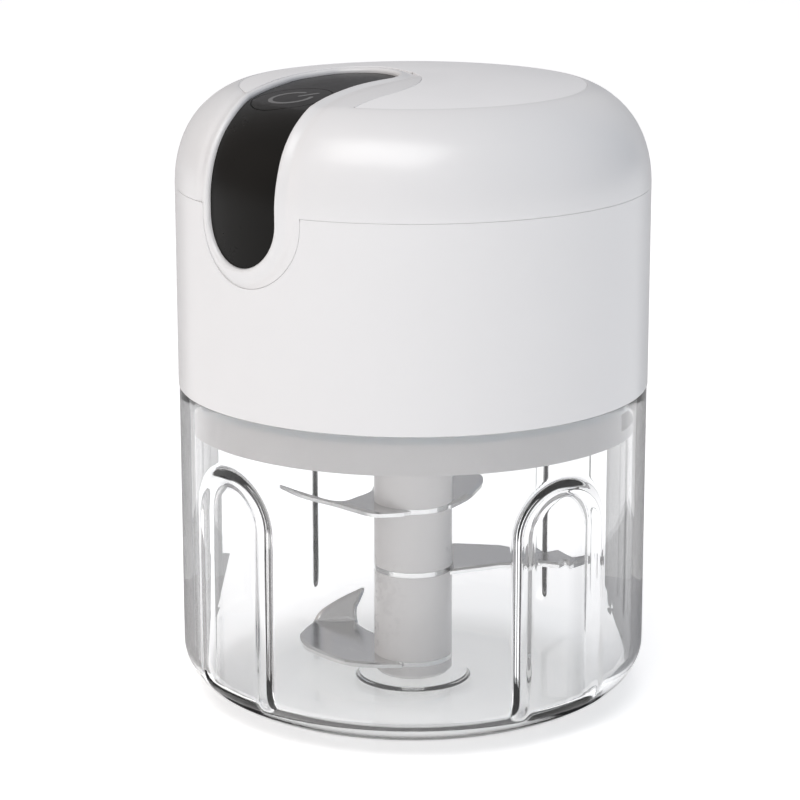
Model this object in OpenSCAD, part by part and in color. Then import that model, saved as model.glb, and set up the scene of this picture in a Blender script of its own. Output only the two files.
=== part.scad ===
// Cordless mini food processor: a clear cup, a lift-out three-tier blade and a motor head that
// drops into the cup's mouth, turns to lock and is worked by one key on its black control strip.
// Origin: centre of the cup's underside. +Z is up and -Y is the side with the control strip.
// An azimuth is counted from -Y towards +X.

/* [Cup] */
// Outer radius of the clear cup
cup_r = 42.85; // [42.5:0.05:43]
// Height of the cup's rim
cup_h = 58.6; // [58:0.1:58.7]
// Thickness of the cup's wall and floor
cup_wall = 2; // [1.8:0.1:2.2]
// Radius of the flat ring that the cup stands on
foot_r = 27.85; // [25:0.5:30]
// Height of the rounded corner between the foot and the wall
corner_h = 10; // [9:0.5:11]
// Number of upright flutes pressed into the wall
flute_n = 4; // [2:1:4]
// Half the width of one flute
flute_half_w = 7.6; // [7:0.1:8.2]
// Height of a flute's rounded top
flute_top = 46.2; // [44:0.2:47.4]
// How far a flute is pressed inwards
flute_depth = 1.5; // [1:0.1:1.6]
// Azimuth of the first flute
flute_az = -5.9; // [-10:0.1:0]

/* [Blades] */
// Radius of the plastic hub that carries the blades
hub_r = 7.3; // [7.2:0.05:7.5]
// Height of the hub's lower end above the table
hub_z0 = 2.8; // [2.7:0.1:3]
// Height of the hub's upper end
hub_z1 = 57; // [56.5:0.1:57]
// Thickness of the steel blades
blade_t = 1; // [0.8:0.1:1]
// Height of the top blade's upper face
top_blade_z = 35.9; // [34:0.1:37]
// Height of the middle blade's upper face
middle_blade_z = 23.7; // [22:0.1:25]
// Height of the lower blade's upper face
lower_blade_z = 6.4; // [6:0.1:7]
// Angle by which the blades stand turned at rest
blade_turn = 45; // [30:1:60]
// Angle by which the lower blade's tip is bent up
tip_bend = 60; // [45:1:60]

/* [Motor head] */
// Outer radius of the white head
head_r = 43; // [42.9:0.05:43.2]
// Height of the head's lower edge
head_z0 = 58.9; // [58.8:0.1:59]
// Height of the seam between motor housing and top cover
seam_z = 95.6; // [95:0.1:96]
// Height of the crown of the top cover
top_z = 115.25; // [115:0.05:115.5]
// Rise of the crown inside the shoulder
crown_h = 2.15; // [2:0.05:2.3]
// Radius at which the crown meets the shoulder
crown_r = 31.8; // [31.6:0.1:32]
// Radius of the round inlay on top
disc_r = 31.2; // [30.8:0.1:31.3]
// Wall thickness of the head's shells
shell_t = 2.6; // [2.5:0.1:2.7]
// Height of the grey collar's lower edge
collar_z0 = 51.5; // [51:0.1:52]
// Radius of the grey collar
collar_r = 40.45; // [40.3:0.05:40.5]

/* [Control strip] */
// Half the width of the black strip on the side
strip_half_w = 8.54; // [8:0.02:8.6]
// Height of the centre of the strip's round lower end
strip_end_z = 94; // [93.5:0.1:94.5]
// Radius of the strip's round end on top
strip_cap_r = 9.2; // [9:0.1:9.4]
// Depth of the strip's face below the white surface
strip_sink = 0.9; // [0.7:0.1:1]
// Radius of the cover's tab that frames the strip's lower end
tab_r = 11.7; // [11.5:0.1:12]
// Radius of the round power key
key_r = 7.2; // [6.8:0.1:7.2]
// Travel of the power key
key_travel = 0.5; // [0.3:0.1:0.5]

/* [Lock] */
// Angle through which the head turns to lock
lock_turn = 20; // [15:1:20]
// Travel of the safety plunger
plunger_travel = 1.2; // [1:0.1:1.2]

/* [Motor] */
// Outer radius of the motor can
can_r = 13.9; // [13.5:0.1:13.9]
// Radius of the motor shaft
shaft_r = 1.59; // [1.5:0.01:1.6]
// Radial clearance of each running fit
running_gap = 0.04; // [0.02:0.01:0.06]
// Radius of one battery cell
cell_r = 8.2; // [8:0.1:8.3]
// Length of one battery cell
cell_l = 34.2; // [33:0.1:34.5]

/* [Hidden] */
$fn = 96;
eps = 0.01;
far = 60;

// Cup
cup_in_r = cup_r - cup_wall;
corner_r = cup_r - foot_r;
corner_steps = 10;
boss_r = 10.35;
boss_h = 0.5;
pin_r = 2;
pin_z0 = 0.9;
pin_z1 = 16.5;

// Blade hub
hub_core_r = 5.5;
bush_r = 4.2;
bush_z0 = 3.2;
bush_z1 = 11.2;
hub_bore_r = bush_r + running_gap;
hub_shoulder_r = 3.2;
hollow_r = 4.4;
hollow_z0 = 18;
hollow_z1 = 44;
socket_r = 5.15;
socket_z0 = 46.5;
rib_r0 = 3.5;
rib_z1 = 55;
dog_half_angle = 20;

// Bayonet
lug_n = 2;
lug_az = -47;
lug_half_angle = 4;
lug_z0 = 54;
lug_z1 = 56.2;
lug_in_r = 38.2;
slot_play_angle = 0.8;
slot_lap = 1;
slot_play = 0.4;
slot_r = 37.8;
collar_wall_in_r = 36;
collar_floor_z = 52;
collar_floor_t = 2.5;
collar_top_z = 61.9;
well_r = 8.6;
well_wall = 2;
well_roof_z = 58.2;
well_top_z = 61;
seal_groove_r = 39.2;
seal_z0 = 57.1;
seal_z1 = 58.5;
lip_r = 5;
lip_z1 = 60.2;
frame_rib_r = 26;

// Motor and drive
mount_z = 62;
mount_t = 1.2;
mount_r = 23.5;
can_z0 = mount_z + mount_t;
can_z1 = 98;
can_wall = 1;
can_boss_r = 5;
can_boss_z0 = 61.2;
bearing_r = 3;
cap_z1 = 102;
shaft_z0 = 48.9;
shaft_z1 = 101.4;
coupling_z1 = 57.8;
coupling_r = 3.2;
wing_r = 4.9;
core_r = 10.4;
core_z0 = 70;
core_z1 = 90;
pole_n = 5;
commutator_z0 = 94.4;
commutator_z1 = 97.8;
motor_screw_x = 8;
mount_screw_y = 20;

// Frame, cells and boards
frame_z0 = 62;
frame_z1 = 64;
frame_in_r = 24;
frame_out_r = 30.8;
cell_x = 24.6;
cell_z0 = 66;
cell_cup_wall = 1.3;
board_z = 102.2;
board_t = 1.6;
board_r = 31.5;
board_post_r = 2.4;
board_screw_r = 0.9;
board_post_at = [14, 23];
switch_h = 2.5;
usb_z = 76;
usb_w = 9;
usb_h = 3.3;
usb_l = 7.4;

// Screws and bosses of the shells
screw_r = 1.5;
screw_head_r = 2.8;
screw_head_h = 1.8;
shell_boss_r = 3.4;
collar_boss_at = 34.4;
cover_boss_at = 35.6;
housing_ledge_z = [89.6, 93.6];

// Safety interlock, placed where the lug arrives when the head is locked
plunger_az = lug_az - lock_turn - lug_half_angle / 2;
plunger_at = 38.1;
plunger_r = 0.9;
plunger_tip_r = 0.45;
plunger_tip_h = 0.5;
plunger_head_r = 1.25;
plunger_head_h = 0.9;
plunger_z0 = lug_z1 + 0.2 - plunger_travel;
plunger_z1 = 64;
switch_out_r = 38.9;
switch_size = [8, 4.4, 6];
switch_z = 65.4;

// Power key, in plan
key_at = [-3.7, -26.4];
key_gap = 0.15;
key_flange_z = board_z + board_t + switch_h + key_travel + 0.15;
key_flange_r = key_r + 1;
key_flange_t = 1;

// Rows of hand-chosen points, in plan, seen from above
strip_left = [[-8.54, -46], [-8.6, -42], [-8.9, -39.5], [-9.5, -35], [-10.9, -30.5],
    [-13, -25], [-15, -18.5], [-16.3, -12], [-15, -4.8]];
strip_right = [[1.8, -8], [2, -15], [2.9, -20.7], [4.5, -27], [6.6, -33], [8, -39.5],
    [8.5, -42], [8.54, -46]];
strip_cap_at = [-7.2, -9.6];
tongue = [[15.6, -33], [13.5, -27], [12.5, -21], [12, -15], [9.6, -8.3], [4.5, -2.6],
    [-2, 0.6], [-9.3, 2], [-15, -0.5], [-18, -6.5], [-17.6, -15], [-15.3, -22.5],
    [-13, -28.5], [-12.4, -33]];
// Blade outlines, before they are turned by blade_turn
top_left_wing = [[-2, -8.2], [-6.2, -9], [-8.9, -7.6], [-14.1, -2.3], [-21, 4], [-25.4, 11],
    [-21.3, 6.1], [-14.2, -0.6], [-10.6, 2.4], [-8, 6.8], [-7.2, 13.8]];
top_back_wing = [[-4, 18], [2, 21.8], [9.5, 26.5], [13, 18.5], [13.4, 13],
    [12.3, 8.6], [10.4, 2.8], [7.2, -2.9]];
middle_wing = [[7.3, 12.7], [16.5, 11.4], [19.3, 9.9], [20.7, 6], [22.6, 12.3], [25.1, 6.8],
    [27.8, 8.6], [30.3, 3.6], [33.3, 5.2], [33.5, 2.7], [29.2, -1.6], [28.6, 1.2],
    [27.2, -1.1], [23.4, 0.4], [22.8, -3.5], [20.4, 1.2], [19.9, -0.9], [16, -1.2],
    [12.4, -2.8], [6.8, -5]];
lower_wing = [[-2, -7.6], [-8.5, -7.4], [-12.8, -5.8], [-17.6, -0.9], [-20.6, 3.4],
    [-21.8, 9], [-21, 14], [-19.5, 17.1], [-10.8, 17.1], [-8.8, 12.6], [-6, 9]];
// The bent tip: across the fold and along the bent plane
lower_tip = [[-19.5, 0], [-18.2, 2], [-15.3, 4], [-12.4, 5.5], [-9.6, 6.6], [-10.4, 4],
    [-11, 2.6], [-10.8, 0]];
fold_y = 17.1;

// Smooth open curve through the points of p, with n steps from each point to the next
function curve_at(a, b, c, d, t) = 0.5 * (2 * b + (c - a) * t
    + (2 * a - 5 * b + 4 * c - d) * t * t + (3 * b - a - 3 * c + d) * t * t * t);
function smooth(p, n = 3) = [
    for (i = [0 : len(p) - 2], k = [0 : n - 1])
        curve_at(p[max(i - 1, 0)], p[i], p[i + 1], p[min(i + 2, len(p) - 1)], k / n),
    p[len(p) - 1]];

// Outer profile of the top cover, moved inwards by d, from the seam to the axis
shoulder = [[head_r, seam_z], [head_r, seam_z + 14.7], [crown_r, top_z - crown_h]];
function shoulder_at(t) = pow(1 - t, 3) * shoulder[0] + 3 * t * pow(1 - t, 2) * shoulder[1]
    + (3 * t * t * (1 - t) + pow(t, 3)) * shoulder[2];
function shoulder_run(t) = 3 * pow(1 - t, 2) * (shoulder[1] - shoulder[0])
    + 6 * t * (1 - t) * (shoulder[2] - shoulder[1]);
function outward(v) = [v[1], -v[0]] / norm(v);
flat_r = 5;
function crown_at(r) = [r, top_z - crown_h * pow((r - flat_r) / (crown_r - flat_r), 2)];
function crown_run(r) = [-1, 2 * crown_h * (r - flat_r) / pow(crown_r - flat_r, 2)];
shoulder_steps = 12;
crown_steps = 6;
function cover_profile(d) = concat(
    [for (i = [0 : shoulder_steps - 1]) let (t = i / shoulder_steps)
        shoulder_at(t) - d * outward(shoulder_run(t))],
    [for (i = [0 : crown_steps]) let (r = crown_r + (flat_r - crown_r) * i / crown_steps)
        crown_at(r) - d * outward(crown_run(r))],
    [[0, top_z - d]]);

// Everything inside the head's outer surface, moved inwards by d, above z0
module head_solid(d, z0) {
    rotate_extrude()
        polygon(concat([[0, z0], [head_r - d, z0]], cover_profile(d)));
}

module tube(r_out, r_in, z0, z1) {
    translate([0, 0, z0])
        difference() {
            cylinder(r = r_out, h = z1 - z0);
            translate([0, 0, -1])
                cylinder(r = r_in, h = z1 - z0 + 2);
        }
}

module rod(r, z0, z1) {
    translate([0, 0, z0])
        cylinder(r = r, h = z1 - z0);
}

// A wedge around the azimuth a, half_angle to each side, for cutting arcs out of rings
module wedge(a, half_angle, z0, z1) {
    near = 2;
    slope = tan(half_angle);
    rotate([0, 0, a])
        translate([0, 0, z0])
            linear_extrude(z1 - z0)
                polygon([[near * slope, -near], [-near * slope, -near],
                    [-far * slope, -far], [far * slope, -far]]);
}

// A prism that runs outwards along -Y, from a drawing in x and z
module outwards(y0, y1) {
    translate([0, -y0, 0])
        rotate([90, 0, 0])
            linear_extrude(y1 - y0)
                children();
}

module at_azimuths(n, first, radius) {
    for (i = [0 : n - 1])
        rotate([0, 0, first + 360 * i / n])
            translate([0, -radius, 0])
                children();
}

// ---- Cup ----

function cup_corner(r_in, z_in) = [
    for (i = [0 : corner_steps]) let (a = 90 * i / corner_steps)
        [foot_r + (corner_r - r_in) * sin(a), corner_h - (corner_h - z_in) * cos(a)]];

module cup_outside() {
    rotate_extrude()
        polygon(concat([[0, 0]], cup_corner(0, 0), [[cup_r, cup_h], [0, cup_h]]));
}

module cup_inside() {
    rotate_extrude()
        polygon(concat([[0, cup_wall]], cup_corner(cup_wall, cup_wall),
            [[cup_in_r, cup_h + 1], [0, cup_h + 1]]));
}

module flute_arch(half_w) {
    translate([-half_w, 0])
        square([2 * half_w, flute_top - flute_half_w]);
    translate([0, flute_top - flute_half_w])
        circle(r = half_w);
}

module flutes(r, half_w) {
    for (i = [0 : flute_n - 1])
        rotate([0, 0, flute_az + 360 * i / flute_n])
            outwards(r, far)
                flute_arch(half_w);
}

module bayonet_lugs() {
    intersection() {
        tube(cup_in_r + 0.5, lug_in_r, lug_z0, lug_z1);
        for (i = [0 : lug_n - 1])
            wedge(lug_az + 360 * i / lug_n, lug_half_angle, lug_z0 - 1, lug_z1 + 1);
    }
}

module cup() {
    color([0.9, 0.93, 0.94, 0.35])
        difference() {
            union() {
                difference() {
                    cup_outside();
                    difference() {
                        cup_inside();
                        difference() {
                            flutes(20, flute_half_w + cup_wall * 0.8);
                            rod(cup_in_r - flute_depth, -1, cup_h);
                        }
                        rod(boss_r, 0, cup_wall + boss_h);
                    }
                }
                bayonet_lugs();
            }
            difference() {
                flutes(30, flute_half_w);
                rod(cup_r - flute_depth, -1, cup_h);
            }
            rod(pin_r, pin_z0, cup_h);
        }
}

module centre_pin() {
    color("silver")
        rod(pin_r, pin_z0, pin_z1);
}

// ---- Blade set ----

module foot_bush() {
    color("ivory")
        tube(bush_r, pin_r + running_gap, bush_z0, bush_z1);
}

module blade_groove(z) {
    tube(hub_r + 1, hub_core_r, z - blade_t, z);
}

module blade_hub() {
    chamfer = 0.8;
    color([0.76, 0.77, 0.8])
        difference() {
            rotate_extrude()
                polygon([[0, hub_z0], [hub_r - chamfer, hub_z0], [hub_r, hub_z0 + chamfer],
                    [hub_r, hub_z1 - chamfer], [hub_r - chamfer, hub_z1], [0, hub_z1]]);
            rod(hub_bore_r, hub_z0 - 1, bush_z1 + 0.1);
            rod(hub_shoulder_r, bush_z1, hollow_z0 + eps);
            rod(hollow_r, hollow_z0, hollow_z1);
            difference() {
                rod(socket_r, socket_z0, hub_z1 + 1);
                difference() {
                    for (side = [0, 180])
                        wedge(90 + side, dog_half_angle, socket_z0 - 1, rib_z1);
                    rod(rib_r0, socket_z0 - 2, rib_z1 + 1);
                }
            }
            blade_groove(top_blade_z);
            blade_groove(middle_blade_z);
            blade_groove(lower_blade_z);
        }
}

// A flat blade with its ring round the hub's core, upper face at height z
module flat_blade(z) {
    color([0.78, 0.78, 0.78])
        rotate([0, 0, blade_turn])
            translate([0, 0, z - blade_t])
                difference() {
                    union() {
                        cylinder(r = hub_r, h = blade_t);
                        linear_extrude(blade_t)
                            children();
                    }
                    translate([0, 0, -1])
                        cylinder(r = hub_core_r, h = blade_t + 2);
                }
}

module top_blade() {
    flat_blade(top_blade_z)
        polygon(concat(top_left_wing, top_back_wing));
}

module middle_blade() {
    flat_blade(middle_blade_z)
        polygon(middle_wing);
}

module lower_blade() {
    flat_blade(lower_blade_z)
        polygon(lower_wing);
    color([0.78, 0.78, 0.78])
        rotate([0, 0, blade_turn])
            translate([0, fold_y, lower_blade_z - blade_t])
                rotate([tip_bend, 0, 0])
                    linear_extrude(blade_t)
                        polygon(lower_tip);
}

// ---- Motor head ----

module seal_ring() {
    color([0.85, 0.85, 0.86])
        tube(cup_in_r - 0.05, seal_groove_r + 0.1, seal_z0, seal_z1);
}

// Entry slot and turning slot for each lug, cut into the collar
module bayonet_slots() {
    z1 = lug_z1 + slot_play;
    intersection() {
        tube(collar_r + 1, slot_r, collar_z0 - 1, z1);
        for (i = [0 : lug_n - 1]) {
            az = lug_az + 360 * i / lug_n;
            half = lug_half_angle + slot_play_angle;
            wedge(az, half, collar_z0 - 1, z1);
            wedge(az - lock_turn / 2 - slot_lap, half + lock_turn / 2 - slot_lap,
                lug_z0 - slot_play, z1);
        }
    }
}

module collar() {
    color([0.76, 0.76, 0.77])
        difference() {
            union() {
                tube(collar_r, collar_wall_in_r, collar_z0, head_z0);
                tube(head_r - shell_t, collar_wall_in_r, head_z0 - 1, collar_top_z);
                tube(collar_wall_in_r + 1, well_r, collar_floor_z,
                    collar_floor_z + collar_floor_t);
                tube(well_r + well_wall, well_r, collar_floor_z, well_top_z);
                tube(well_r + 1, lip_r, well_roof_z, well_top_z);
                tube(lip_r + 1, shaft_r + 1.4, lip_z1, well_top_z);
                tube(frame_rib_r + 2, frame_rib_r, collar_floor_z + 1, frame_z0);
                at_azimuths(2, 0, mount_screw_y)
                    rod(shell_boss_r, collar_floor_z + 1, mount_z);
                at_azimuths(4, 45, collar_boss_at)
                    rod(shell_boss_r, collar_floor_z + 1, collar_top_z);
            }
            bayonet_slots();
            tube(collar_r + 1, seal_groove_r, seal_z0 - 0.1, seal_z1 + 0.1);
            for (x = [-motor_screw_x, motor_screw_x])
                translate([x, 0, 0])
                    rod(screw_head_r + 0.2, mount_z - screw_head_h - 0.1, mount_z);
            at_azimuths(2, 0, mount_screw_y)
                rod(screw_r, collar_floor_z + collar_floor_t + 1, mount_z + 1);
            at_azimuths(4, 45, collar_boss_at) {
                rod(screw_r, collar_floor_z - 1, collar_top_z + 1);
                rod(screw_head_r, collar_floor_z - 1, collar_floor_z + 1 + screw_head_h);
            }
            rotate([0, 0, plunger_az])
                translate([0, -plunger_at, 0])
                    rod(plunger_r + running_gap, plunger_z0 - 0.1, collar_top_z + 1);
        }
}

module tab_shape(r) {
    translate([2, strip_end_z])
        circle(r = r);
    translate([2 - r, strip_end_z])
        square([2 * r, 20]);
}

module motor_housing() {
    in_r = head_r - shell_t;
    edge = 0.6;
    rib_w = 6;
    ledge_y = 33;
    ledge_drop = 5.2;
    ledge_t = 2;
    color([0.95, 0.95, 0.95])
        difference() {
            union() {
                rotate_extrude()
                    polygon([[in_r, head_z0], [head_r - edge, head_z0],
                        [head_r, head_z0 + edge], [head_r, seam_z], [in_r, seam_z]]);
                at_azimuths(4, 45, collar_boss_at)
                    rod(shell_boss_r, collar_top_z, collar_top_z + 14);
                for (a = [45 : 90 : 315])
                    rotate([0, 0, a])
                        translate([-1, -in_r - 0.5, collar_top_z])
                            cube([2, in_r - collar_boss_at - 1.5, 14]);
                intersection() {
                    at_azimuths(3, 60, cover_boss_at)
                        translate([-4, -far / 2, housing_ledge_z[0]])
                            cube([8, far / 2 + 4, housing_ledge_z[1] - housing_ledge_z[0]]);
                    rod(in_r + 0.5, 0, seam_z);
                }
                rotate([0, 0, plunger_az])
                    translate([-rib_w / 2, -in_r - 0.5, switch_z])
                        cube([rib_w, in_r + 0.5 - switch_out_r, switch_size[2]]);
                intersection() {
                    translate([-usb_w, ledge_y, usb_z - ledge_drop])
                        cube([2 * usb_w, in_r, ledge_t]);
                    rod(in_r + 0.5, head_z0, seam_z);
                }
            }
            outwards(20, far)
                tab_shape(tab_r + 0.1);
            at_azimuths(4, 45, collar_boss_at)
                rod(screw_r, collar_top_z - 1, collar_top_z + 12);
            at_azimuths(3, 60, cover_boss_at)
                rod(screw_r, housing_ledge_z[0] - 1, housing_ledge_z[1] + 1);
            translate([0, in_r - 2, usb_z])
                rotate([-90, 0, 0])
                    usb_slot(usb_w + 0.6, usb_h + 0.6, 9);
            translate([0, head_r - 1.1, usb_z])
                rotate([-90, 0, 0])
                    usb_slot(usb_w + 4, usb_h + 3.4, 9);
        }
}

// Round-ended slot of width w and height h, length l along its own Z
module usb_slot(w, h, l) {
    linear_extrude(l) {
        square([w - h, h], center = true);
        for (x = [-1, 1])
            translate([x * (w - h) / 2, 0])
                circle(d = h);
    }
}

// Plan of the black strip, drawn from above
module strip_plan() {
    polygon(concat(smooth(strip_left), smooth(strip_right)));
    translate(strip_cap_at)
        circle(r = strip_cap_r);
}

// Everything above and outside the black strip's place in the head's surface
module strip_prism() {
    translate([0, 0, strip_end_z + 1])
        linear_extrude(30)
            strip_plan();
    outwards(30, far)
        union() {
            translate([0, strip_end_z])
                circle(r = strip_half_w);
            translate([-strip_half_w, strip_end_z])
                square([2 * strip_half_w, 2]);
        }
}

// Everything above the place of the flat disc, which leaves out the tongue
module inlay_prism() {
    difference() {
        rod(disc_r, seam_z, top_z + 5);
        translate([0, 0, seam_z - 1])
            linear_extrude(top_z + 7 - seam_z)
                polygon(smooth(tongue));
    }
}

module key_hole(r) {
    translate([key_at[0], key_at[1], 0])
        rod(r, seam_z, 130);
}

strip_t = 1;
inlay_sink = 0.15;
inlay_t = 0.9;

module top_cover() {
    in_r = head_r - shell_t;
    lip_t = 1.1;
    lip_h = 2;
    color([0.95, 0.95, 0.95])
        difference() {
            union() {
                difference() {
                    head_solid(0, seam_z);
                    head_solid(shell_t, seam_z - 1);
                }
                tube(in_r - 0.1, in_r - lip_t, seam_z - lip_h, seam_z + 1);
                tube(in_r + 1, in_r - lip_t, seam_z, seam_z + lip_h);
                intersection() {
                    tube(head_r, in_r, strip_end_z - tab_r - 1, seam_z);
                    outwards(20, far)
                        tab_shape(tab_r);
                }
                intersection() {
                    at_azimuths(3, 60, cover_boss_at)
                        rod(shell_boss_r, housing_ledge_z[1], top_z);
                    head_solid(1, seam_z - 5);
                }
            }
            difference() {
                strip_prism();
                head_solid(strip_sink + strip_t, 60);
            }
            difference() {
                inlay_prism();
                head_solid(inlay_sink + inlay_t, 60);
            }
            key_hole(key_r + 2 * key_gap);
            at_azimuths(3, 60, cover_boss_at)
                rod(screw_r, housing_ledge_z[1] - 1, housing_ledge_z[1] + 9);
        }
}

module top_inlay() {
    color([0.9, 0.9, 0.91])
        intersection() {
            inlay_prism();
            difference() {
                head_solid(inlay_sink, seam_z);
                head_solid(inlay_sink + inlay_t, seam_z - 1);
            }
        }
}

module control_panel() {
    color([0.06, 0.06, 0.06])
        difference() {
            intersection() {
                strip_prism();
                difference() {
                    head_solid(strip_sink, 70);
                    head_solid(strip_sink + strip_t, 69);
                }
            }
            key_hole(key_r + key_gap);
        }
}

module power_button() {
    neck_r = 5;
    color([0.08, 0.08, 0.08]) {
        intersection() {
            key_hole(key_r);
            difference() {
                head_solid(strip_sink, seam_z);
                head_solid(strip_sink + strip_t, seam_z - 1);
            }
        }
        translate([key_at[0], key_at[1], 0])
            rod(key_flange_r, key_flange_z, key_flange_z + key_flange_t);
        intersection() {
            translate([key_at[0], key_at[1], 0])
                rod(neck_r, key_flange_z, top_z);
            head_solid(strip_sink + 0.5, seam_z);
        }
    }
}

// ---- Motor ----

module motor_mount() {
    color("gainsboro")
        difference() {
            rod(mount_r, mount_z, can_z0);
            rod(can_boss_r + 0.1, mount_z - 1, can_z0 + 1);
            for (x = [-motor_screw_x, motor_screw_x])
                translate([x, 0, 0])
                    rod(screw_r, mount_z - 1, can_z0 + 1);
            for (y = [-mount_screw_y, mount_screw_y])
                translate([0, y, 0])
                    rod(screw_r, mount_z - 1, can_z0 + 1);
        }
}

module motor_can() {
    color("silver")
        difference() {
            union() {
                rod(can_r, can_z0, can_z1);
                rod(can_boss_r, can_boss_z0, can_z0 + 1);
            }
            rod(can_r - can_wall, can_z0 + 1.2, can_z1 + 1);
            rod(bearing_r, can_boss_z0 - 1, can_z0 + 2);
            for (x = [-motor_screw_x, motor_screw_x])
                translate([x, 0, 0])
                    rod(screw_r, can_z0 - 1, can_z0 + 2);
        }
}

module motor_magnets() {
    magnet_t = 2.1;
    half_angle = 58;
    over = 2;
    out_r = can_r - can_wall;
    color([0.25, 0.25, 0.27])
        intersection() {
            tube(out_r, out_r - magnet_t, core_z0 - over, core_z1 + over);
            for (a = [90, 270])
                wedge(a, half_angle, core_z0 - over - 1, core_z1 + over + 1);
        }
}

module motor_end_cap() {
    plate_t = 1.8;
    tab_w = 3;
    tab_t = 0.8;
    tab_at = 9;
    color([0.15, 0.15, 0.16])
        difference() {
            union() {
                rod(can_r - 0.2, can_z1, can_z1 + plate_t);
                rod(can_boss_r, can_z1, cap_z1);
                for (x = [-tab_at, tab_at])
                    translate([x - tab_w / 2, -tab_t / 2, can_z1])
                        cube([tab_w, tab_t, cap_z1 - can_z1]);
            }
            rod(bearing_r, can_z1 - 1, cap_z1 - 0.5);
        }
}

module front_bearing() {
    color("goldenrod")
        tube(bearing_r, shaft_r + running_gap, can_boss_z0 + 0.2, can_z0 + 1);
}

module rear_bearing() {
    color("goldenrod")
        tube(bearing_r, shaft_r + running_gap, can_z1 + 0.6, cap_z1 - 0.5);
}

module carbon_brushes() {
    brush_l = 4;
    brush_w = 3;
    brush_at = bearing_r + 2.2;
    color([0.2, 0.2, 0.2])
        for (side = [-1, 1])
            translate([side * brush_at, 0, (commutator_z0 + commutator_z1) / 2])
                cube([brush_l, brush_w, brush_w], center = true);
}

module lip_seal() {
    color([0.2, 0.2, 0.22])
        tube(lip_r, shaft_r + 0.06, well_roof_z, lip_z1);
}

module motor_shaft() {
    color("silver")
        rod(shaft_r, shaft_z0, shaft_z1);
}

module armature() {
    pole_half_w = 1.6;
    pole_in = 3.4;
    shoe_half_w = 4.6;
    shoe_in = 8.2;
    yoke_r = 4;
    color([0.5, 0.5, 0.52])
        difference() {
            union() {
                rod(yoke_r, core_z0, core_z1);
                intersection() {
                    rod(core_r, core_z0, core_z1);
                    for (i = [0 : pole_n - 1])
                        rotate([0, 0, 360 * i / pole_n])
                            translate([0, 0, core_z0 - 1])
                                linear_extrude(core_z1 - core_z0 + 2)
                                    polygon([[-pole_half_w, -pole_in], [-pole_half_w, -shoe_in],
                                        [-shoe_half_w, -shoe_in], [-shoe_half_w, -core_r - 1],
                                        [shoe_half_w, -core_r - 1], [shoe_half_w, -shoe_in],
                                        [pole_half_w, -shoe_in], [pole_half_w, -pole_in]]);
                }
            }
            rod(shaft_r, core_z0 - 1, core_z1 + 1);
        }
}

module rotor_windings() {
    head_out_r = 8.4;
    head_in_r = 2.6;
    head_h = 3;
    slot_at = 6.2;
    wire_r = 1.5;
    color([0.72, 0.4, 0.2]) {
        tube(head_out_r, head_in_r, core_z0 - head_h, core_z0);
        tube(head_out_r, head_in_r, core_z1, core_z1 + head_h);
        at_azimuths(pole_n, 180 / pole_n, slot_at)
            rod(wire_r, core_z0, core_z1);
    }
}

module commutator() {
    color([0.75, 0.5, 0.3])
        tube(bearing_r + 0.15, shaft_r, commutator_z0, commutator_z1);
}

module drive_coupling() {
    color([0.25, 0.25, 0.26])
        difference() {
            union() {
                rod(coupling_r, shaft_z0 + 0.1, coupling_z1);
                intersection() {
                    rod(wing_r, shaft_z0 + 0.1, coupling_z1);
                    for (a = [0, 180])
                        wedge(a, dog_half_angle, shaft_z0, coupling_z1 + 1);
                }
            }
            rod(shaft_r, shaft_z0 - 1, coupling_z1 + 1);
        }
}

// ---- Frame, cells and boards ----

module board_posts() {
    for (x = [-1, 1], y = [-1, 1])
        translate([x * board_post_at[0], y * board_post_at[1], 0])
            children();
}

module inner_frame() {
    color([0.3, 0.32, 0.34])
        difference() {
            union() {
                tube(frame_out_r, frame_in_r, frame_z0, frame_z1);
                for (x = [-cell_x, cell_x])
                    translate([x, 0, 0])
                        rod(cell_r + cell_cup_wall, frame_z1 - eps, cell_z0 + 9);
                board_posts()
                    rod(board_post_r, frame_z1 - 1, board_z);
            }
            for (x = [-cell_x, cell_x])
                translate([x, 0, 0])
                    rod(cell_r + 0.1, cell_z0, cell_z0 + 10);
            board_posts()
                rod(board_screw_r, board_z - 8, board_z + 1);
        }
}

module battery_cell(side) {
    tip_r = 2.8;
    tip_h = 1;
    color([0.2, 0.45, 0.7])
        translate([side * cell_x, 0, 0]) {
            rod(cell_r, cell_z0, cell_z0 + cell_l - tip_h);
            rod(tip_r, cell_z0 + cell_l - tip_h - eps, cell_z0 + cell_l);
        }
}

module battery_cell_left() {
    battery_cell(-1);
}

module battery_cell_right() {
    battery_cell(1);
}

module circuit_board() {
    color([0.1, 0.4, 0.2])
        difference() {
            rod(board_r, board_z, board_z + board_t);
            board_posts()
                rod(board_screw_r, board_z - 1, board_z + board_t + 1);
        }
}

module tact_switch() {
    size = 6;
    case_h = 1.8;
    stem_r = 1.7;
    color([0.2, 0.2, 0.2])
        translate([key_at[0], key_at[1], board_z + board_t]) {
            translate([-size / 2, -size / 2, 0])
                cube([size, size, case_h]);
            rod(stem_r, case_h - eps, switch_h);
        }
}

module power_led() {
    size = [3.2, 1.6, 1.1];
    from_key = [6, 5];
    color("white")
        translate([key_at[0] + from_key[0] - size[0] / 2, key_at[1] + from_key[1] - size[1] / 2,
                board_z + board_t])
            cube(size);
}

module charging_board() {
    size = [16, 5.6, 1.5];
    near_y = 33.2;
    color([0.1, 0.4, 0.2])
        translate([-size[0] / 2, near_y, usb_z - 1.7 - size[2]])
            cube(size);
}

module usb_port() {
    wall = 0.35;
    color("silver")
        translate([0, head_r - 2.2 - usb_l, usb_z])
            rotate([-90, 0, 0])
                difference() {
                    usb_slot(usb_w, usb_h, usb_l);
                    translate([0, 0, 1])
                        usb_slot(usb_w - 2 * wall, usb_h - 2 * wall, usb_l);
                }
}

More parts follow.
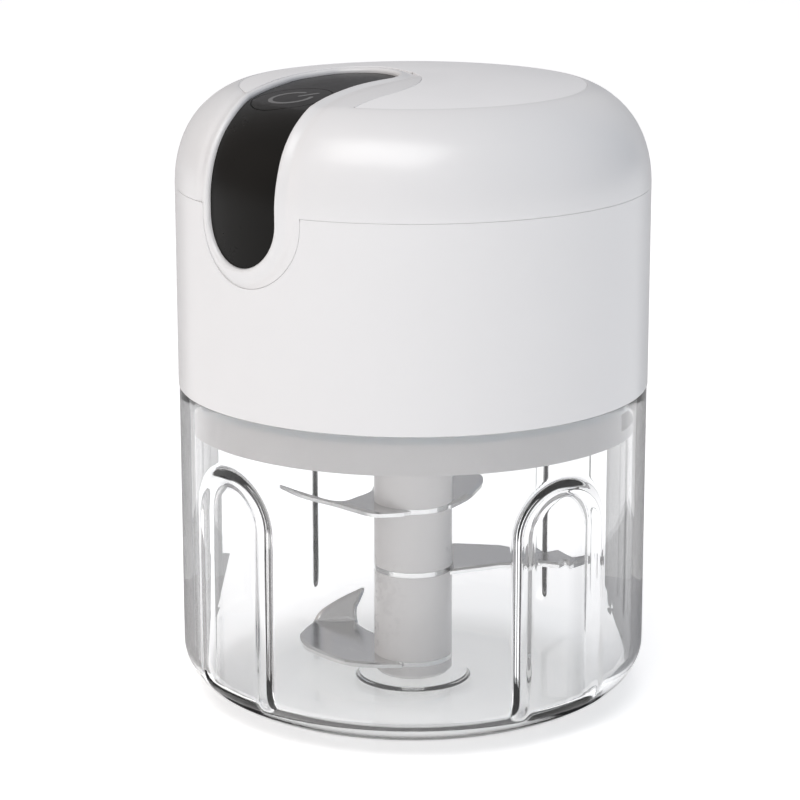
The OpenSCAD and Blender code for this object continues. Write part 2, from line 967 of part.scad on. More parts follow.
module interlock_switch() {
    color([0.12, 0.12, 0.13])
        rotate([0, 0, plunger_az])
            translate([-switch_size[0] / 2, -switch_out_r, switch_z])
                cube(switch_size);
}

module interlock_plunger() {
    color([0.9, 0.5, 0.1])
        rotate([0, 0, plunger_az])
            translate([0, -plunger_at, 0]) {
                translate([0, 0, plunger_z0])
                    cylinder(r1 = plunger_tip_r, r2 = plunger_r, h = plunger_tip_h);
                rod(plunger_r, plunger_z0 + plunger_tip_h, plunger_z1);
                rod(plunger_head_r, collar_top_z + 0.3, collar_top_z + 0.3 + plunger_head_h);
            }
}

// ---- Fasteners ----

// A pan-head screw that points down from z, or up when up is true
module screw(z, l, up = false) {
    if (up) {
        rod(screw_head_r - 0.2, z - screw_head_h, z);
        rod(screw_r, z - eps, z + l);
    } else {
        rod(screw_head_r - 0.2, z, z + screw_head_h);
        rod(screw_r, z - l, z + eps);
    }
}

module motor_screws() {
    color("silver")
        for (x = [-motor_screw_x, motor_screw_x])
            translate([x, 0, 0])
                screw(mount_z, 2.2, up = true);
}

module mount_screws() {
    color("silver")
        for (y = [-mount_screw_y, mount_screw_y])
            translate([0, y, 0])
                screw(can_z0, 6);
}

module collar_screws() {
    color("silver")
        at_azimuths(4, 45, collar_boss_at)
            screw(collar_floor_z + 1 + screw_head_h, 16, up = true);
}

module cover_screws() {
    color("silver")
        at_azimuths(3, 60, cover_boss_at)
            screw(housing_ledge_z[0], 11, up = true);
}

module board_screws() {
    color("silver")
        board_posts() {
            rod(2 * board_screw_r, board_z + board_t, board_z + board_t + 1.2);
            rod(board_screw_r, board_z - 5, board_z + board_t + eps);
        }
}

cup();
centre_pin();
foot_bush();
blade_hub();
top_blade();
middle_blade();
lower_blade();
seal_ring();
collar();
motor_housing();
top_cover();
top_inlay();
control_panel();
motor_mount();
motor_can();
motor_magnets();
motor_end_cap();
front_bearing();
rear_bearing();
carbon_brushes();
lip_seal();
inner_frame();
battery_cell_left();
battery_cell_right();
circuit_board();
tact_switch();
power_led();
charging_board();
usb_port();
interlock_switch();
motor_screws();
mount_screws();
collar_screws();
cover_screws();
board_screws();
motor_shaft();
armature();
rotor_windings();
commutator();
drive_coupling();
power_button();
interlock_plunger();
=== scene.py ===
import math

import bmesh
import bpy
import numpy as np
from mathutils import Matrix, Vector
from mathutils.geometry import delaunay_2d_cdt
from mathutils.kdtree import KDTree


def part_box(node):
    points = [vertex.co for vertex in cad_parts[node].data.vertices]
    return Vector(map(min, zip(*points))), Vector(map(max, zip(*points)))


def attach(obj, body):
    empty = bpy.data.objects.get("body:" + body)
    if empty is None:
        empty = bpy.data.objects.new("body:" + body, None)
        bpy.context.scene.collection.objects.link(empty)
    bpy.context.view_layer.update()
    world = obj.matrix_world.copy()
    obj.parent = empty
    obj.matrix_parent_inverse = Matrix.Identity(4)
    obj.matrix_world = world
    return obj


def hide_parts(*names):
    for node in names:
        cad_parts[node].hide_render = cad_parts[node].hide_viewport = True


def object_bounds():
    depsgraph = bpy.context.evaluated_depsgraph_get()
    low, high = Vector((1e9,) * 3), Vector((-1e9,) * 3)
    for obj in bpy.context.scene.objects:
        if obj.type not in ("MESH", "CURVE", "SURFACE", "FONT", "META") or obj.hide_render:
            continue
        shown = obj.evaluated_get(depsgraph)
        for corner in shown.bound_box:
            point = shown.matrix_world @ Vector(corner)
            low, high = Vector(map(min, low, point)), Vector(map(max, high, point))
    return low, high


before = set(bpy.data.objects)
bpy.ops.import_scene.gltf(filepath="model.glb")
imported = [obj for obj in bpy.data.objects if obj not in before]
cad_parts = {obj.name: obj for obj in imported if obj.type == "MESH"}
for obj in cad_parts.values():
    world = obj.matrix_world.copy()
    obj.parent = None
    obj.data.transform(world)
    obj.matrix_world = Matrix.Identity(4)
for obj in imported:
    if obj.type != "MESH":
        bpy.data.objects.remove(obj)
cad_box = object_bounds()
MM = 0.001

# ---------------------------------------------------------------- sizes, in millimetres, from the frame


def span(node):
    lo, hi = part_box(node)
    return [c / MM for c in lo], [c / MM for c in hi]


cup_hi = span("cup")[1]
head_lo, head_hi = span("motor_housing")
cover_hi = span("top_cover")[1]
inlay_hi = span("top_inlay")[1]
CUP_R = cup_hi[0]
CUP_H = cup_hi[2]
HEAD_R = head_hi[0]
HEAD_Z0 = head_lo[2]
SEAM_Z = head_hi[2]
TOP_Z = cover_hi[2]
DISC_R = inlay_hi[0]
CROWN_H, CROWN_R, FLAT_R = 2.15, 31.8, 5.0
STRIP_HALF, STRIP_END_Z, TAB_R, TAB_X = 8.54, 94.0, 11.7, 2.0
KEY_AT, KEY_R = (-3.7, -26.4), 7.2
PANEL_SINK = 0.9
USB_Z, USB_W, USB_H, USB_DISH = 76.0, 9.6, 3.9, 1.9


# ---------------------------------------------------------------- materials


def put(nodes, kind, **inputs):
    n = nodes.new(kind)
    for key, value in inputs.items():
        n.inputs[key].default_value = value
    return n


def ramp(tree, source, low, high, low_in=0.3, high_in=0.7):
    r = tree.nodes.new("ShaderNodeMapRange")
    r.inputs["From Min"].default_value = low_in
    r.inputs["From Max"].default_value = high_in
    r.inputs["To Min"].default_value = low
    r.inputs["To Max"].default_value = high
    tree.links.new(source, r.inputs["Value"])
    return r.outputs["Result"]


def finish(name, color, rough, spread=0.04, grain=900.0, bump=0.00002, mottle=0.03,
           stretch=(1, 1, 1), wear=60.0, **sockets):
    """A surface with fine grain in its relief, broad unevenness in its gloss and a faint mottle."""
    m = bpy.data.materials.new(name)
    m.use_nodes = True
    t = m.node_tree
    shader = t.nodes["Principled BSDF"]
    for key, value in sockets.items():
        shader.inputs[key.replace("_", " ")].default_value = value
    where = t.nodes.new("ShaderNodeTexCoord")
    scale = t.nodes.new("ShaderNodeMapping")
    scale.inputs["Scale"].default_value = stretch
    t.links.new(where.outputs["Object"], scale.inputs["Vector"])
    fine = put(t.nodes, "ShaderNodeTexNoise", Scale=grain, Detail=4.0, Roughness=0.6)
    broad = put(t.nodes, "ShaderNodeTexNoise", Scale=wear, Detail=3.0, Roughness=0.55)
    for n in (fine, broad):
        t.links.new(scale.outputs["Vector"], n.inputs["Vector"])
    both = t.nodes.new("ShaderNodeMath")
    both.operation = "ADD"
    t.links.new(fine.outputs["Fac"], both.inputs[0])
    t.links.new(broad.outputs["Fac"], both.inputs[1])
    t.links.new(ramp(t, both.outputs["Value"], rough - spread, rough + spread, 0.7, 1.3),
                shader.inputs["Roughness"])
    tint = t.nodes.new("ShaderNodeMix")
    tint.data_type = "RGBA"
    tint.inputs["A"].default_value = (*[c * (1 - mottle) for c in color], 1)
    tint.inputs["B"].default_value = (*[min(1, c * (1 + mottle)) for c in color], 1)
    t.links.new(ramp(t, broad.outputs["Fac"], 0, 1), tint.inputs["Factor"])
    t.links.new(tint.outputs["Result"], shader.inputs["Base Color"])
    if bump:
        relief = put(t.nodes, "ShaderNodeBump", Strength=1.0, Distance=bump)
        t.links.new(fine.outputs["Fac"], relief.inputs["Height"])
        t.links.new(relief.outputs["Normal"], shader.inputs["Normal"])
    return m


WHITE = finish("white_shell", (0.7, 0.698, 0.702), 0.32, grain=520, bump=0.0000009, mottle=0.006,
               wear=35, Coat_Weight=0.25, Coat_Roughness=0.22)
# the top inlay's base colour is lighter than the shell's white: painted light on the top of the head; its
# satin gloss is its own
INLAY = finish("inlay_satin", (0.78, 0.78, 0.785), 0.42, grain=900, bump=0.0000012, mottle=0.01,
               Coat_Weight=0.1, Coat_Roughness=0.35)
BLACK = finish("smoked_black", (0.0075, 0.0072, 0.0066), 0.3, spread=0.03, grain=700,
               bump=0.0000003, mottle=0.05, Specular_IOR_Level=0.1)
ICON = finish("icon_print", (0.15, 0.15, 0.15), 0.45, grain=900, bump=0.0000005,
              Specular_IOR_Level=0.15)
CLEAR = finish("clear_cup", (0.985, 0.99, 0.992), 0.015, spread=0.012, grain=40, bump=0,
               mottle=0.004, Transmission_Weight=1.0, IOR=1.47)
# the collar's and the hub's base colours are lightened to stand in for the light that the clear cup holds
# back: painted light; out of the cup they look nearly white
COLLAR = finish("collar_grey", (0.79, 0.775, 0.772), 0.45, grain=1500, bump=0.000006, mottle=0.02)
HUB = finish("hub_grey", (0.83, 0.812, 0.806), 0.3, grain=900, bump=0.000001, mottle=0.02,
             Coat_Weight=0.3, Coat_Roughness=0.15)
BLADE = finish("blade_polish", (0.7, 0.7, 0.7), 0.16, spread=0.04, grain=300, bump=0.0000002,
               mottle=0.03, stretch=(1, 6, 1), wear=120, Metallic=1.0)
STEEL = finish("steel_bright", (0.66, 0.66, 0.67), 0.28, grain=900, bump=0.000004,
               stretch=(1, 1, 8), Metallic=1.0)
SILICONE = finish("silicone", (0.77, 0.755, 0.752), 0.5, grain=1200, bump=0.000006,
                  Subsurface_Weight=0.15)
ACETAL = finish("acetal", (0.86, 0.84, 0.76), 0.42, grain=1300, bump=0.000006)
MAGNET = finish("ferrite", (0.1, 0.1, 0.11), 0.7, spread=0.1, grain=1500, bump=0.00003, mottle=0.2)
DARK = finish("moulded_black", (0.03, 0.03, 0.033), 0.5, grain=1600, bump=0.000012, mottle=0.08)
BRONZE = finish("sintered_bronze", (0.45, 0.3, 0.13), 0.5, spread=0.1, grain=2600, bump=0.00002,
                mottle=0.15, Metallic=0.9)
CARBON = finish("pressed_carbon", (0.05, 0.05, 0.05), 0.62, grain=3000, bump=0.00002, mottle=0.2)
RUBBER = finish("rubber_black", (0.025, 0.025, 0.028), 0.6, grain=1500, bump=0.00001, mottle=0.1)
FRAME = finish("frame_grey", (0.16, 0.17, 0.19), 0.5, grain=1500, bump=0.000015, mottle=0.06)
WRAP = finish("cell_sleeve", (0.06, 0.2, 0.38), 0.3, grain=500, bump=0.00002, mottle=0.06,
              stretch=(1, 1, 0.3), Coat_Weight=0.3)
BOARD = finish("solder_mask", (0.015, 0.16, 0.06), 0.38, grain=700, bump=0.00003, mottle=0.25)
LED = finish("led_lens", (0.85, 0.85, 0.78), 0.3, grain=1500, bump=0.000003,
             Subsurface_Weight=0.2)
IRON = finish("laminated_steel", (0.3, 0.3, 0.32), 0.45, grain=260, bump=0.00005, mottle=0.1,
              stretch=(0.02, 0.02, 14), Metallic=1.0)
COPPER = finish("enamelled_copper", (0.55, 0.2, 0.07), 0.32, grain=420, bump=0.00008, mottle=0.15,
                stretch=(1, 1, 5), Metallic=0.9, Coat_Weight=0.4)
ORANGE = finish("orange_acetal", (0.8, 0.26, 0.03), 0.45, grain=1300, bump=0.000006)

CAD_LOOKS = {
    "centre_pin": STEEL, "foot_bush": ACETAL, "blade_hub": HUB, "seal_ring": SILICONE,
    "collar": COLLAR, "motor_mount": STEEL, "motor_can": STEEL, "motor_magnets": MAGNET,
    "motor_end_cap": DARK, "front_bearing": BRONZE, "rear_bearing": BRONZE,
    "carbon_brushes": CARBON, "lip_seal": RUBBER, "inner_frame": FRAME,
    "battery_cell_left": WRAP, "battery_cell_right": WRAP, "circuit_board": BOARD,
    "tact_switch": DARK, "power_led": LED, "charging_board": BOARD, "usb_port": STEEL,
    "interlock_switch": DARK, "motor_screws": STEEL, "mount_screws": STEEL,
    "collar_screws": STEEL, "cover_screws": STEEL, "board_screws": STEEL,
    "motor_shaft": STEEL, "armature": IRON, "rotor_windings": COPPER, "commutator": COPPER,
    "drive_coupling": DARK, "interlock_plunger": ORANGE,
}
for node, look in CAD_LOOKS.items():
    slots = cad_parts[node].material_slots
    for s in slots:
        s.material = look
    if not slots:
        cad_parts[node].data.materials.append(look)


# ---------------------------------------------------------------- surfaces that a flat drawing is laid on


class Dome:
    """The head's outer surface. A drawing's point lies at its distance along the surface from the
    crown, in its own direction from the axis."""

    def __init__(self):
        r = np.linspace(0, CROWN_R, 900)
        z = TOP_Z - CROWN_H * (np.maximum(r - FLAT_R, 0) / (CROWN_R - FLAT_R)) ** 2
        t = np.linspace(1, 0, 900)[1:]
        a = np.array([HEAD_R, SEAM_Z])
        b = np.array([HEAD_R, SEAM_Z + 14.7])
        c = np.array([CROWN_R, TOP_Z - CROWN_H])
        bend = (((1 - t) ** 3)[:, None] * a + (3 * t * (1 - t) ** 2)[:, None] * b
                + (3 * t * t * (1 - t) + t ** 3)[:, None] * c)
        wall = np.linspace(SEAM_Z, HEAD_Z0, 200)[1:]
        self.r = np.concatenate([r, bend[:, 0], np.full(len(wall), HEAD_R)])
        self.z = np.concatenate([z, bend[:, 1], wall])
        step = np.hypot(np.diff(self.r), np.diff(self.z))
        self.s = np.concatenate([[0], np.cumsum(step)])
        dr, dz = np.gradient(self.r, self.s), np.gradient(self.z, self.s)
        k = 9
        pad = np.ones(k) / k
        dr[k:-k], dz[k:-k] = np.convolve(dr, pad, "same")[k:-k], np.convolve(dz, pad, "same")[k:-k]
        n = np.hypot(dr, dz)
        self.dr, self.dz = dr / n, dz / n
        self.seam = float(np.interp(-SEAM_Z, -self.z, self.s))
        self.rim = float(self.s[-1])

    def lift(self, p):
        s = np.maximum(np.hypot(p[:, 0], p[:, 1]), 1e-6)
        sa, ca = p[:, 0] / s, -p[:, 1] / s
        r, z = np.interp(s, self.s, self.r), np.interp(s, self.s, self.z)
        dr, dz = np.interp(s, self.s, self.dr), np.interp(s, self.s, self.dz)
        zero = np.zeros_like(s)
        place = np.stack([r * sa, -r * ca, z], 1)
        normal = np.stack([-dz * sa, dz * ca, dr], 1)
        along = np.stack([dr * sa, -dr * ca, dz], 1)
        across = np.stack([ca, sa, zero], 1)
        flat_along, flat_across = np.stack([sa, -ca], 1), np.stack([ca, sa], 1)
        return place, normal, (along, across), (flat_along, flat_across), s / np.maximum(r, 1e-6)

    def from_plan(self, p):
        """Drawing points for points seen from above."""
        p = np.asarray(p, float)
        r = np.hypot(p[:, 0], p[:, 1])
        top = self.s <= self.seam
        s = np.interp(r, self.r[top], self.s[top])
        return p / np.maximum(r, 1e-9)[:, None] * s[:, None]

    def from_side(self, p):
        """Drawing points for points (x, z) seen from the strip's side, on the upright wall."""
        p = np.asarray(p, float)
        az = np.arcsin(p[:, 0] / HEAD_R)
        s = self.seam + SEAM_Z - p[:, 1]
        return np.stack([s * np.sin(az), -s * np.cos(az)], 1)


class Plate:
    """A level plate turned by `turn` degrees, bent up by `bend` degrees past the line y = fold."""

    def __init__(self, z, turn, fold, bend, radius=0.6):
        self.z, self.turn, self.fold = z, math.radians(turn), fold
        self.bend, self.radius = math.radians(bend), radius

    def lift(self, p):
        arc = self.radius * self.bend
        v = p[:, 1] - self.fold + arc / 2
        a = np.clip(v / self.radius, 0, self.bend) if self.bend else np.zeros(len(p))
        past = np.maximum(v - arc, 0) if self.bend else np.zeros(len(p))
        y = np.minimum(p[:, 1], self.fold - arc / 2) + self.radius * np.sin(a) + past * np.cos(a)
        z = self.z + self.radius * (1 - np.cos(a)) + past * np.sin(a)
        c, s = math.cos(self.turn), math.sin(self.turn)
        one, zero = np.ones(len(p)), np.zeros(len(p))
        place = np.stack([p[:, 0] * c - y * s, p[:, 0] * s + y * c, z], 1)
        along = np.stack([-np.cos(a) * s, np.cos(a) * c, np.sin(a)], 1)
        across = np.stack([one * c, one * s, zero], 1)
        normal = np.cross(across, along)
        return place, normal, (across, along), (np.stack([one, zero], 1), np.stack([zero, one], 1)), one


def smooth(points, n=10):
    """A smooth open curve through the points."""
    p = np.asarray(points, float)
    out = []
    for i in range(len(p) - 1):
        a, b, c, d = p[max(i - 1, 0)], p[i], p[i + 1], p[min(i + 2, len(p) - 1)]
        for t in np.arange(n) / n:
            out.append(0.5 * (2 * b + (c - a) * t + (2 * a - 5 * b + 4 * c - d) * t * t
                              + (3 * b - a - 3 * c + d) * t ** 3))
    return np.array(out + [p[-1]])


def even(p, step):
    """The same closed outline with evenly spaced points, keeping its sharp corners."""
    p = np.asarray(p, float)
    p = p[np.hypot(*(p - np.roll(p, 1, 0)).T) > 1e-6]
    q = np.vstack([p, p[:1]])
    d = np.diff(q, axis=0)
    length = np.hypot(d[:, 0], d[:, 1])
    out = []
    run = np.concatenate([[0], np.cumsum(length)])
    head = d / np.maximum(length, 1e-12)[:, None]
    turn = np.sum(head * np.roll(head, 1, 0), 1) < 0.8
    corners = sorted(set([0] + [i for i in range(len(d)) if turn[i]] + [len(d)]))
    for a, b in zip(corners[:-1], corners[1:]):
        n = max(1, int(round((run[b] - run[a]) / step)))
        at = np.linspace(run[a], run[b], n + 1)[:-1]
        out.append(np.stack([np.interp(at, run, q[:, 0]), np.interp(at, run, q[:, 1])], 1))
    return np.vstack(out)


def inside(poly, p):
    """Which of the points p lie inside the closed outline."""
    x, y = p[:, 0][:, None], p[:, 1][:, None]
    a, b = poly, np.roll(poly, -1, 0)
    hit = ((a[:, 1] > y) != (b[:, 1] > y)) & (
        x < (b[:, 0] - a[:, 0]) * (y - a[:, 1]) / (b[:, 1] - a[:, 1] + 1e-15) + a[:, 0])
    return hit.sum(1) % 2 == 1


def shifted(surface, poly, by):
    """The outline moved sideways by a real distance, to the left of its own direction."""
    _, _, _, (fa, fb), k = surface.lift(poly)
    d = np.roll(poly, -1, 0) - np.roll(poly, 1, 0)
    ta, tb = np.sum(d * fa, 1), np.sum(d * fb, 1) / k
    n = np.maximum(np.hypot(ta, tb), 1e-12)
    na, nb = -tb / n, ta / n
    return poly + by * (na[:, None] * fa + (nb * k)[:, None] * fb)


class Outline:
    """A closed outline on a surface, which can say how far away a point is and in which direction."""

    def __init__(self, surface, poly):
        self.poly = poly
        self.p3 = surface.lift(poly)[0]
        self.q3 = np.roll(self.p3, -1, 0)
        self.tree = KDTree(len(self.p3) * 4)
        n = 0
        for i in range(len(self.p3)):
            for f in (0.125, 0.375, 0.625, 0.875):
                self.tree.insert(Vector(self.p3[i] * (1 - f) + self.q3[i] * f), n)
                n += 1
        self.tree.balance()

    def near(self, places):
        m = len(self.p3)
        found = np.array([self.tree.find(Vector(p))[1] // 4 for p in places])
        best = np.full(len(places), 1e9)
        point = np.zeros((len(places), 3))
        for shift in (-1, 0, 1):
            i = (found + shift) % m
            a, b = self.p3[i], self.q3[i]
            e = b - a
            f = np.clip(np.sum((places - a) * e, 1) / np.maximum(np.sum(e * e, 1), 1e-12), 0, 1)
            c = a + e * f[:, None]
            d = np.linalg.norm(places - c, axis=1)
            better = d < best
            best[better], point[better] = d[better], c[better]
        return best, point


def sheet_piece(name, surface, outlines, has, fill, rings, reliefs, thick, look, body, base=0.0,
                upright=None):
    """A closed shell on a surface. outlines bound it, has(points) says what is in it, and each
    outline has its own relief: depth and slope as a function of the distance from that outline.
    base is the depth of its face below the surface. Beside the outline upright the walls run
    straight down, so that a key can slide there."""
    loops = [Outline(surface, o) for o in outlines]
    edges, start = [], 0
    for o in outlines:
        m = len(o)
        edges += [(start + i, start + (i + 1) % m) for i in range(m)]
        start += m
    rim = np.vstack(outlines)

    def cut(points):
        v, _, f, *_ = delaunay_2d_cdt([Vector(p) for p in points], edges, [], 0, 1e-9)
        v = np.array([[p.x, p.y] for p in v])
        f = np.array([t for t in f if len(t) == 3])
        return v, f[has(v[f].mean(1))]

    def rim_facts(v, f):
        count = {}
        for t in f:
            for i in range(3):
                a, b, c = t[i], t[(i + 1) % 3], t[(i + 2) % 3]
                key = (min(a, b), max(a, b))
                count[key] = None if key in count else (a, b, c)
        return [e for e in count.values() if e is not None]

    def inward(v, border):
        a, b, c = np.array(border).T
        _, _, _, (fa, fb), k = surface.lift((v[a] + v[b]) / 2)
        e, m = v[b] - v[a], v[c] - v[a]
        ea, eb = np.sum(e * fa, 1), np.sum(e * fb, 1) / k
        ma, mb = np.sum(m * fa, 1), np.sum(m * fb, 1) / k
        n = np.hypot(ea, eb)
        ga, gb = -eb / n, ea / n
        sign = np.sign(ga * ma + gb * mb)
        total = np.zeros((len(v), 2))
        for i in (a, b):
            np.add.at(total, i, np.stack([ga * sign, gb * sign], 1))
        n = np.maximum(np.hypot(total[:, 0], total[:, 1]), 1e-12)
        return total / n[:, None]

    v, f = cut(rim)
    border = rim_facts(v, f)
    g = inward(v, border)
    used = np.unique(np.array(border)[:, :2])
    _, _, _, (fa, fb), k = surface.lift(v[used])
    flat = g[used, :1] * fa + (g[used, 1] * k)[:, None] * fb
    points = [rim]
    for r in rings:
        q = v[used] + r * flat
        q = q[has(q)]
        d = np.min([o.near(surface.lift(q)[0])[0] for o in loops], 0)
        points.append(q[d > 0.93 * r][:: 1 if r < 1.2 else 2])
    q = fill[has(fill)]
    d = np.min([o.near(surface.lift(q)[0])[0] for o in loops], 0)
    points.append(q[d > rings[-1] * 1.25])
    v, f = cut(np.vstack(points))
    border = rim_facts(v, f)
    g = inward(v, border)
    keep = np.unique(f)
    index = np.full(len(v), -1)
    index[keep] = np.arange(len(keep))
    v, g, f = v[keep], g[keep], index[f]
    border = [tuple(index[list(e)]) for e in border]

    place, normal, (along, across), _, _ = surface.lift(v)
    area = np.cross(place[f[:, 1]] - place[f[:, 0]], place[f[:, 2]] - place[f[:, 0]])
    flip = np.sum(area * normal[f[:, 0]], 1) < 0
    f[flip] = f[flip][:, ::-1]
    on_rim = np.zeros(len(v), bool)
    on_rim[np.unique(np.array(border)[:, :2])] = True
    g3 = g[:, :1] * along + g[:, 1:] * across
    depth, tilt = np.full(len(v), float(base)), np.zeros((len(v), 3))
    for o, relief in zip(loops, reliefs):
        d, q = o.near(place)
        away = place - q
        away -= normal * np.sum(away * normal, 1)[:, None]
        away /= np.maximum(np.linalg.norm(away, axis=1), 1e-9)[:, None]
        touching = on_rim & (d < 0.01)
        away[touching] = g3[touching]
        down, slope = relief(np.where(touching, 0.0, d))
        depth += down
        tilt += slope[:, None] * away
    top_n = normal + tilt
    top_n[on_rim] = np.where((np.linalg.norm(tilt[on_rim], axis=1) > 3)[:, None],
                             -g3[on_rim], top_n[on_rim])
    top_n /= np.linalg.norm(top_n, axis=1)[:, None]
    top = place - normal * depth[:, None]
    down_by = normal
    if upright is not None:
        reach, steepest = 1.5, 0.3
        share = np.clip(reach - Outline(surface, upright).near(place)[0], 0, 1)[:, None]
        down_by = normal * (1 - share) + share * (0, 0, 1) / np.maximum(normal[:, 2:], steepest)
    under = place - normal * base - thick * down_by
    n = len(v)
    faces = [tuple(t) for t in f] + [tuple(t[::-1] + n) for t in f]
    loop_n = [top_n[i] for t in f for i in t] + [-normal[i] for t in f for i in t[::-1]]
    lookup = {(t[i], t[(i + 1) % 3]) for t in f for i in range(3)}
    for a, b, _ in border:
        if (a, b) not in lookup:
            a, b = b, a
        faces.append((b, a, a + n, b + n))
        loop_n += [-g3[b], -g3[a], -g3[a], -g3[b]]
    mesh = bpy.data.meshes.new(name)
    mesh.from_pydata([tuple(c) for c in np.vstack([top, under]) * MM], [], faces)
    mesh.polygons.foreach_set("use_smooth", [True] * len(mesh.polygons))
    mesh.normals_split_custom_set([tuple(c) for c in loop_n])
    mesh.materials.append(look)
    return settle(bpy.data.objects.new(name, mesh), body)


def settle(piece, body):
    bpy.context.scene.collection.objects.link(piece)
    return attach(piece, body)


def edge_round(r):
    """A rounded edge of radius r."""
    def relief(d):
        x = np.clip(r - d, 0, r)
        root = np.sqrt(np.maximum(r * r - x * x, 1e-12))
        return r - root, np.where(d < r, -np.minimum(x / root, 40), 0)
    return relief


def with_valley(r, depth, at, width):
    """A rounded edge, and beyond it a shallow valley that leaves a bead along the edge."""
    first = edge_round(r)

    def relief(d):
        h, s = first(d)
        u = (d - at) / width
        v = depth * np.exp(-u * u)
        blend = np.clip(d / r, 0, 1)
        return h + v * blend, s + v * (-2 * u / width) * blend
    return relief


def polar(r0, r1, step, spin=0.5):
    """Points on rings between two radii, about a step apart."""
    out, i = [], 0
    for r in np.arange(r0, r1, step):
        n = max(1, int(round(2 * math.pi * r / step)))
        a = (np.arange(n) + spin * (i % 2)) * 2 * math.pi / n
        out.append(np.stack([r * np.sin(a), -r * np.cos(a)], 1))
        i += 1
    return np.vstack(out)


# ---------------------------------------------------------------- the head's outer pieces

dome = Dome()
strip_left = [(-8.54, -46), (-8.6, -42), (-8.9, -39.5), (-9.5, -35), (-10.9, -30.5), (-13, -25),
              (-15, -18.5), (-16.3, -12), (-15, -4.8)]
strip_right = [(1.8, -8), (2, -15), (2.9, -20.7), (4.5, -27), (6.6, -33), (8, -39.5),
               (8.5, -42), (8.54, -46)]
cap_at, cap_r = np.array([-7.2, -9.6]), 9.2
tongue = [(15.6, -33), (13.5, -27), (12.5, -21), (12, -15), (9.6, -8.3), (4.5, -2.6), (-2, 0.6),
          (-9.3, 2), (-15, -0.5), (-18, -6.5), (-17.6, -15), (-15.3, -22.5), (-13, -28.5),
          (-12.4, -33)]


def arc(center, r, a0, a1, n=60):
    a = np.linspace(a0, a1, n)
    return np.stack([center[0] + r * np.cos(a), center[1] + r * np.sin(a)], 1)


def on_top(p):
    return p[np.hypot(p[:, 0], p[:, 1]) < HEAD_R - 0.02]


def angle(p, c):
    return math.atan2(p[1] - c[1], p[0] - c[0])


left_end, right_start = np.array(strip_left[-1]), np.array(strip_right[0])
cap = arc(cap_at, cap_r, angle(left_end, cap_at), angle(right_start, cap_at))[1:-1]
strip = even(np.vstack([
    dome.from_plan(on_top(smooth(strip_left, 60))),
    dome.from_plan(cap),
    dome.from_plan(on_top(smooth(strip_right, 60))),
    dome.from_side([(STRIP_HALF, SEAM_Z - 0.4)]),
    dome.from_side(arc((0, STRIP_END_Z), STRIP_HALF, 0, -math.pi, 80)),
    dome.from_side([(-STRIP_HALF, SEAM_Z - 0.4)]),
]), 0.45)

path = smooth(tongue, 60)
far_out = np.hypot(path[:, 0], path[:, 1])
held = np.where(far_out < DISC_R)[0]


def crossing(i, j):
    f = (DISC_R - far_out[i]) / (far_out[j] - far_out[i])
    return path[i] + f * (path[j] - path[i])


enter, leave = crossing(held[0] - 1, held[0]), crossing(held[-1], held[-1] + 1)
a_in, a_out = angle(enter, (0, 0)), angle(leave, (0, 0))
inlay = even(dome.from_plan(np.vstack([
    enter, path[held], leave, arc((0, 0), DISC_R, a_out, a_in - 2 * math.pi, 300)[1:-1]])), 0.5)

tab_right = math.asin((TAB_X + TAB_R) / HEAD_R)
tab_left = math.asin((TAB_X - TAB_R) / HEAD_R)
around = np.linspace(tab_right, 2 * math.pi + tab_left, 520)
seam = even(np.vstack([
    np.stack([dome.seam * np.sin(around), -dome.seam * np.cos(around)], 1),
    dome.from_side(arc((TAB_X, STRIP_END_Z), TAB_R, -math.pi, 0, 90)),
]), 0.55)
rim = polar(dome.rim, dome.rim + 0.1, 1.6)
key_ring = even(dome.from_plan(arc(KEY_AT, KEY_R, 0, 2 * math.pi, 240)[:-1]), 0.35)


def turns_left(p):
    q = np.roll(p, -1, 0)
    return np.sum(p[:, 0] * q[:, 1] - q[:, 0] * p[:, 1]) > 0


strip, inlay, seam, key_ring = [p if turns_left(p) else p[::-1] for p in (strip, inlay, seam, key_ring)]
GAP, KEY_CLEAR = 0.02, 0.12
SKIN_T, PLATE_T = 2.5, 1.0
INLAY_LEVEL, INLAY_T = 0.04, 0.9
ICON_T, ICON_PROUD = 0.12, 0.04
RINGS = [0.03, 0.07, 0.12, 0.18, 0.26, 0.4, 0.6, 0.85, 1.15, 1.5, 1.9, 2.3, 2.8, 3.4, 4.1]
FINE = [0.03, 0.07, 0.12, 0.18, 0.26, 0.45, 0.8, 1.4]
DISHED = [0.03, 0.07, 0.12, 0.18, 0.3, 0.6, 1.0, 1.2, 1.4, 1.6, 1.8, 2.0]

cover = sheet_piece(
    "cover_skin", dome, [seam, strip, inlay],
    lambda p: inside(seam, p) & ~inside(strip, p) & ~inside(inlay, p),
    polar(1.0, dome.seam + 12, 1.7), RINGS,
    [edge_round(0.07), with_valley(0.75, 0.32, 2.5, 1.15), edge_round(0.1)],
    SKIN_T, WHITE, "head")
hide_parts("top_cover")


def dish(d):
    """A shallow dish that runs out at USB_DISH from the charging slot."""
    deep, run = 0.9, 0.8
    u = np.clip((d - USB_DISH + run) / run, 0, 1)
    slope = np.where((u > 0) & (u < 1), -deep * 6 * u * (1 - u) / run, 0)
    return deep * (1 - u * u * (3 - 2 * u)), slope


seam_out = shifted(dome, seam, -GAP)
slot_x = (USB_W - USB_H) / 2
usb = -even(dome.from_side(np.vstack([
    arc((slot_x, USB_Z), USB_H / 2, -math.pi / 2, math.pi / 2, 40),
    arc((-slot_x, USB_Z), USB_H / 2, math.pi / 2, 1.5 * math.pi, 40)])), 0.4)
usb = usb if turns_left(usb) else usb[::-1]
shell = sheet_piece(
    "housing_skin", dome, [rim, seam_out, usb],
    lambda p: inside(rim, p) & ~inside(seam_out, p) & ~inside(usb, p),
    polar(dome.seam, dome.rim, 2.6), DISHED,
    [edge_round(0.12), edge_round(0.07), dish],
    SKIN_T, WHITE, "head")
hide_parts("motor_housing")

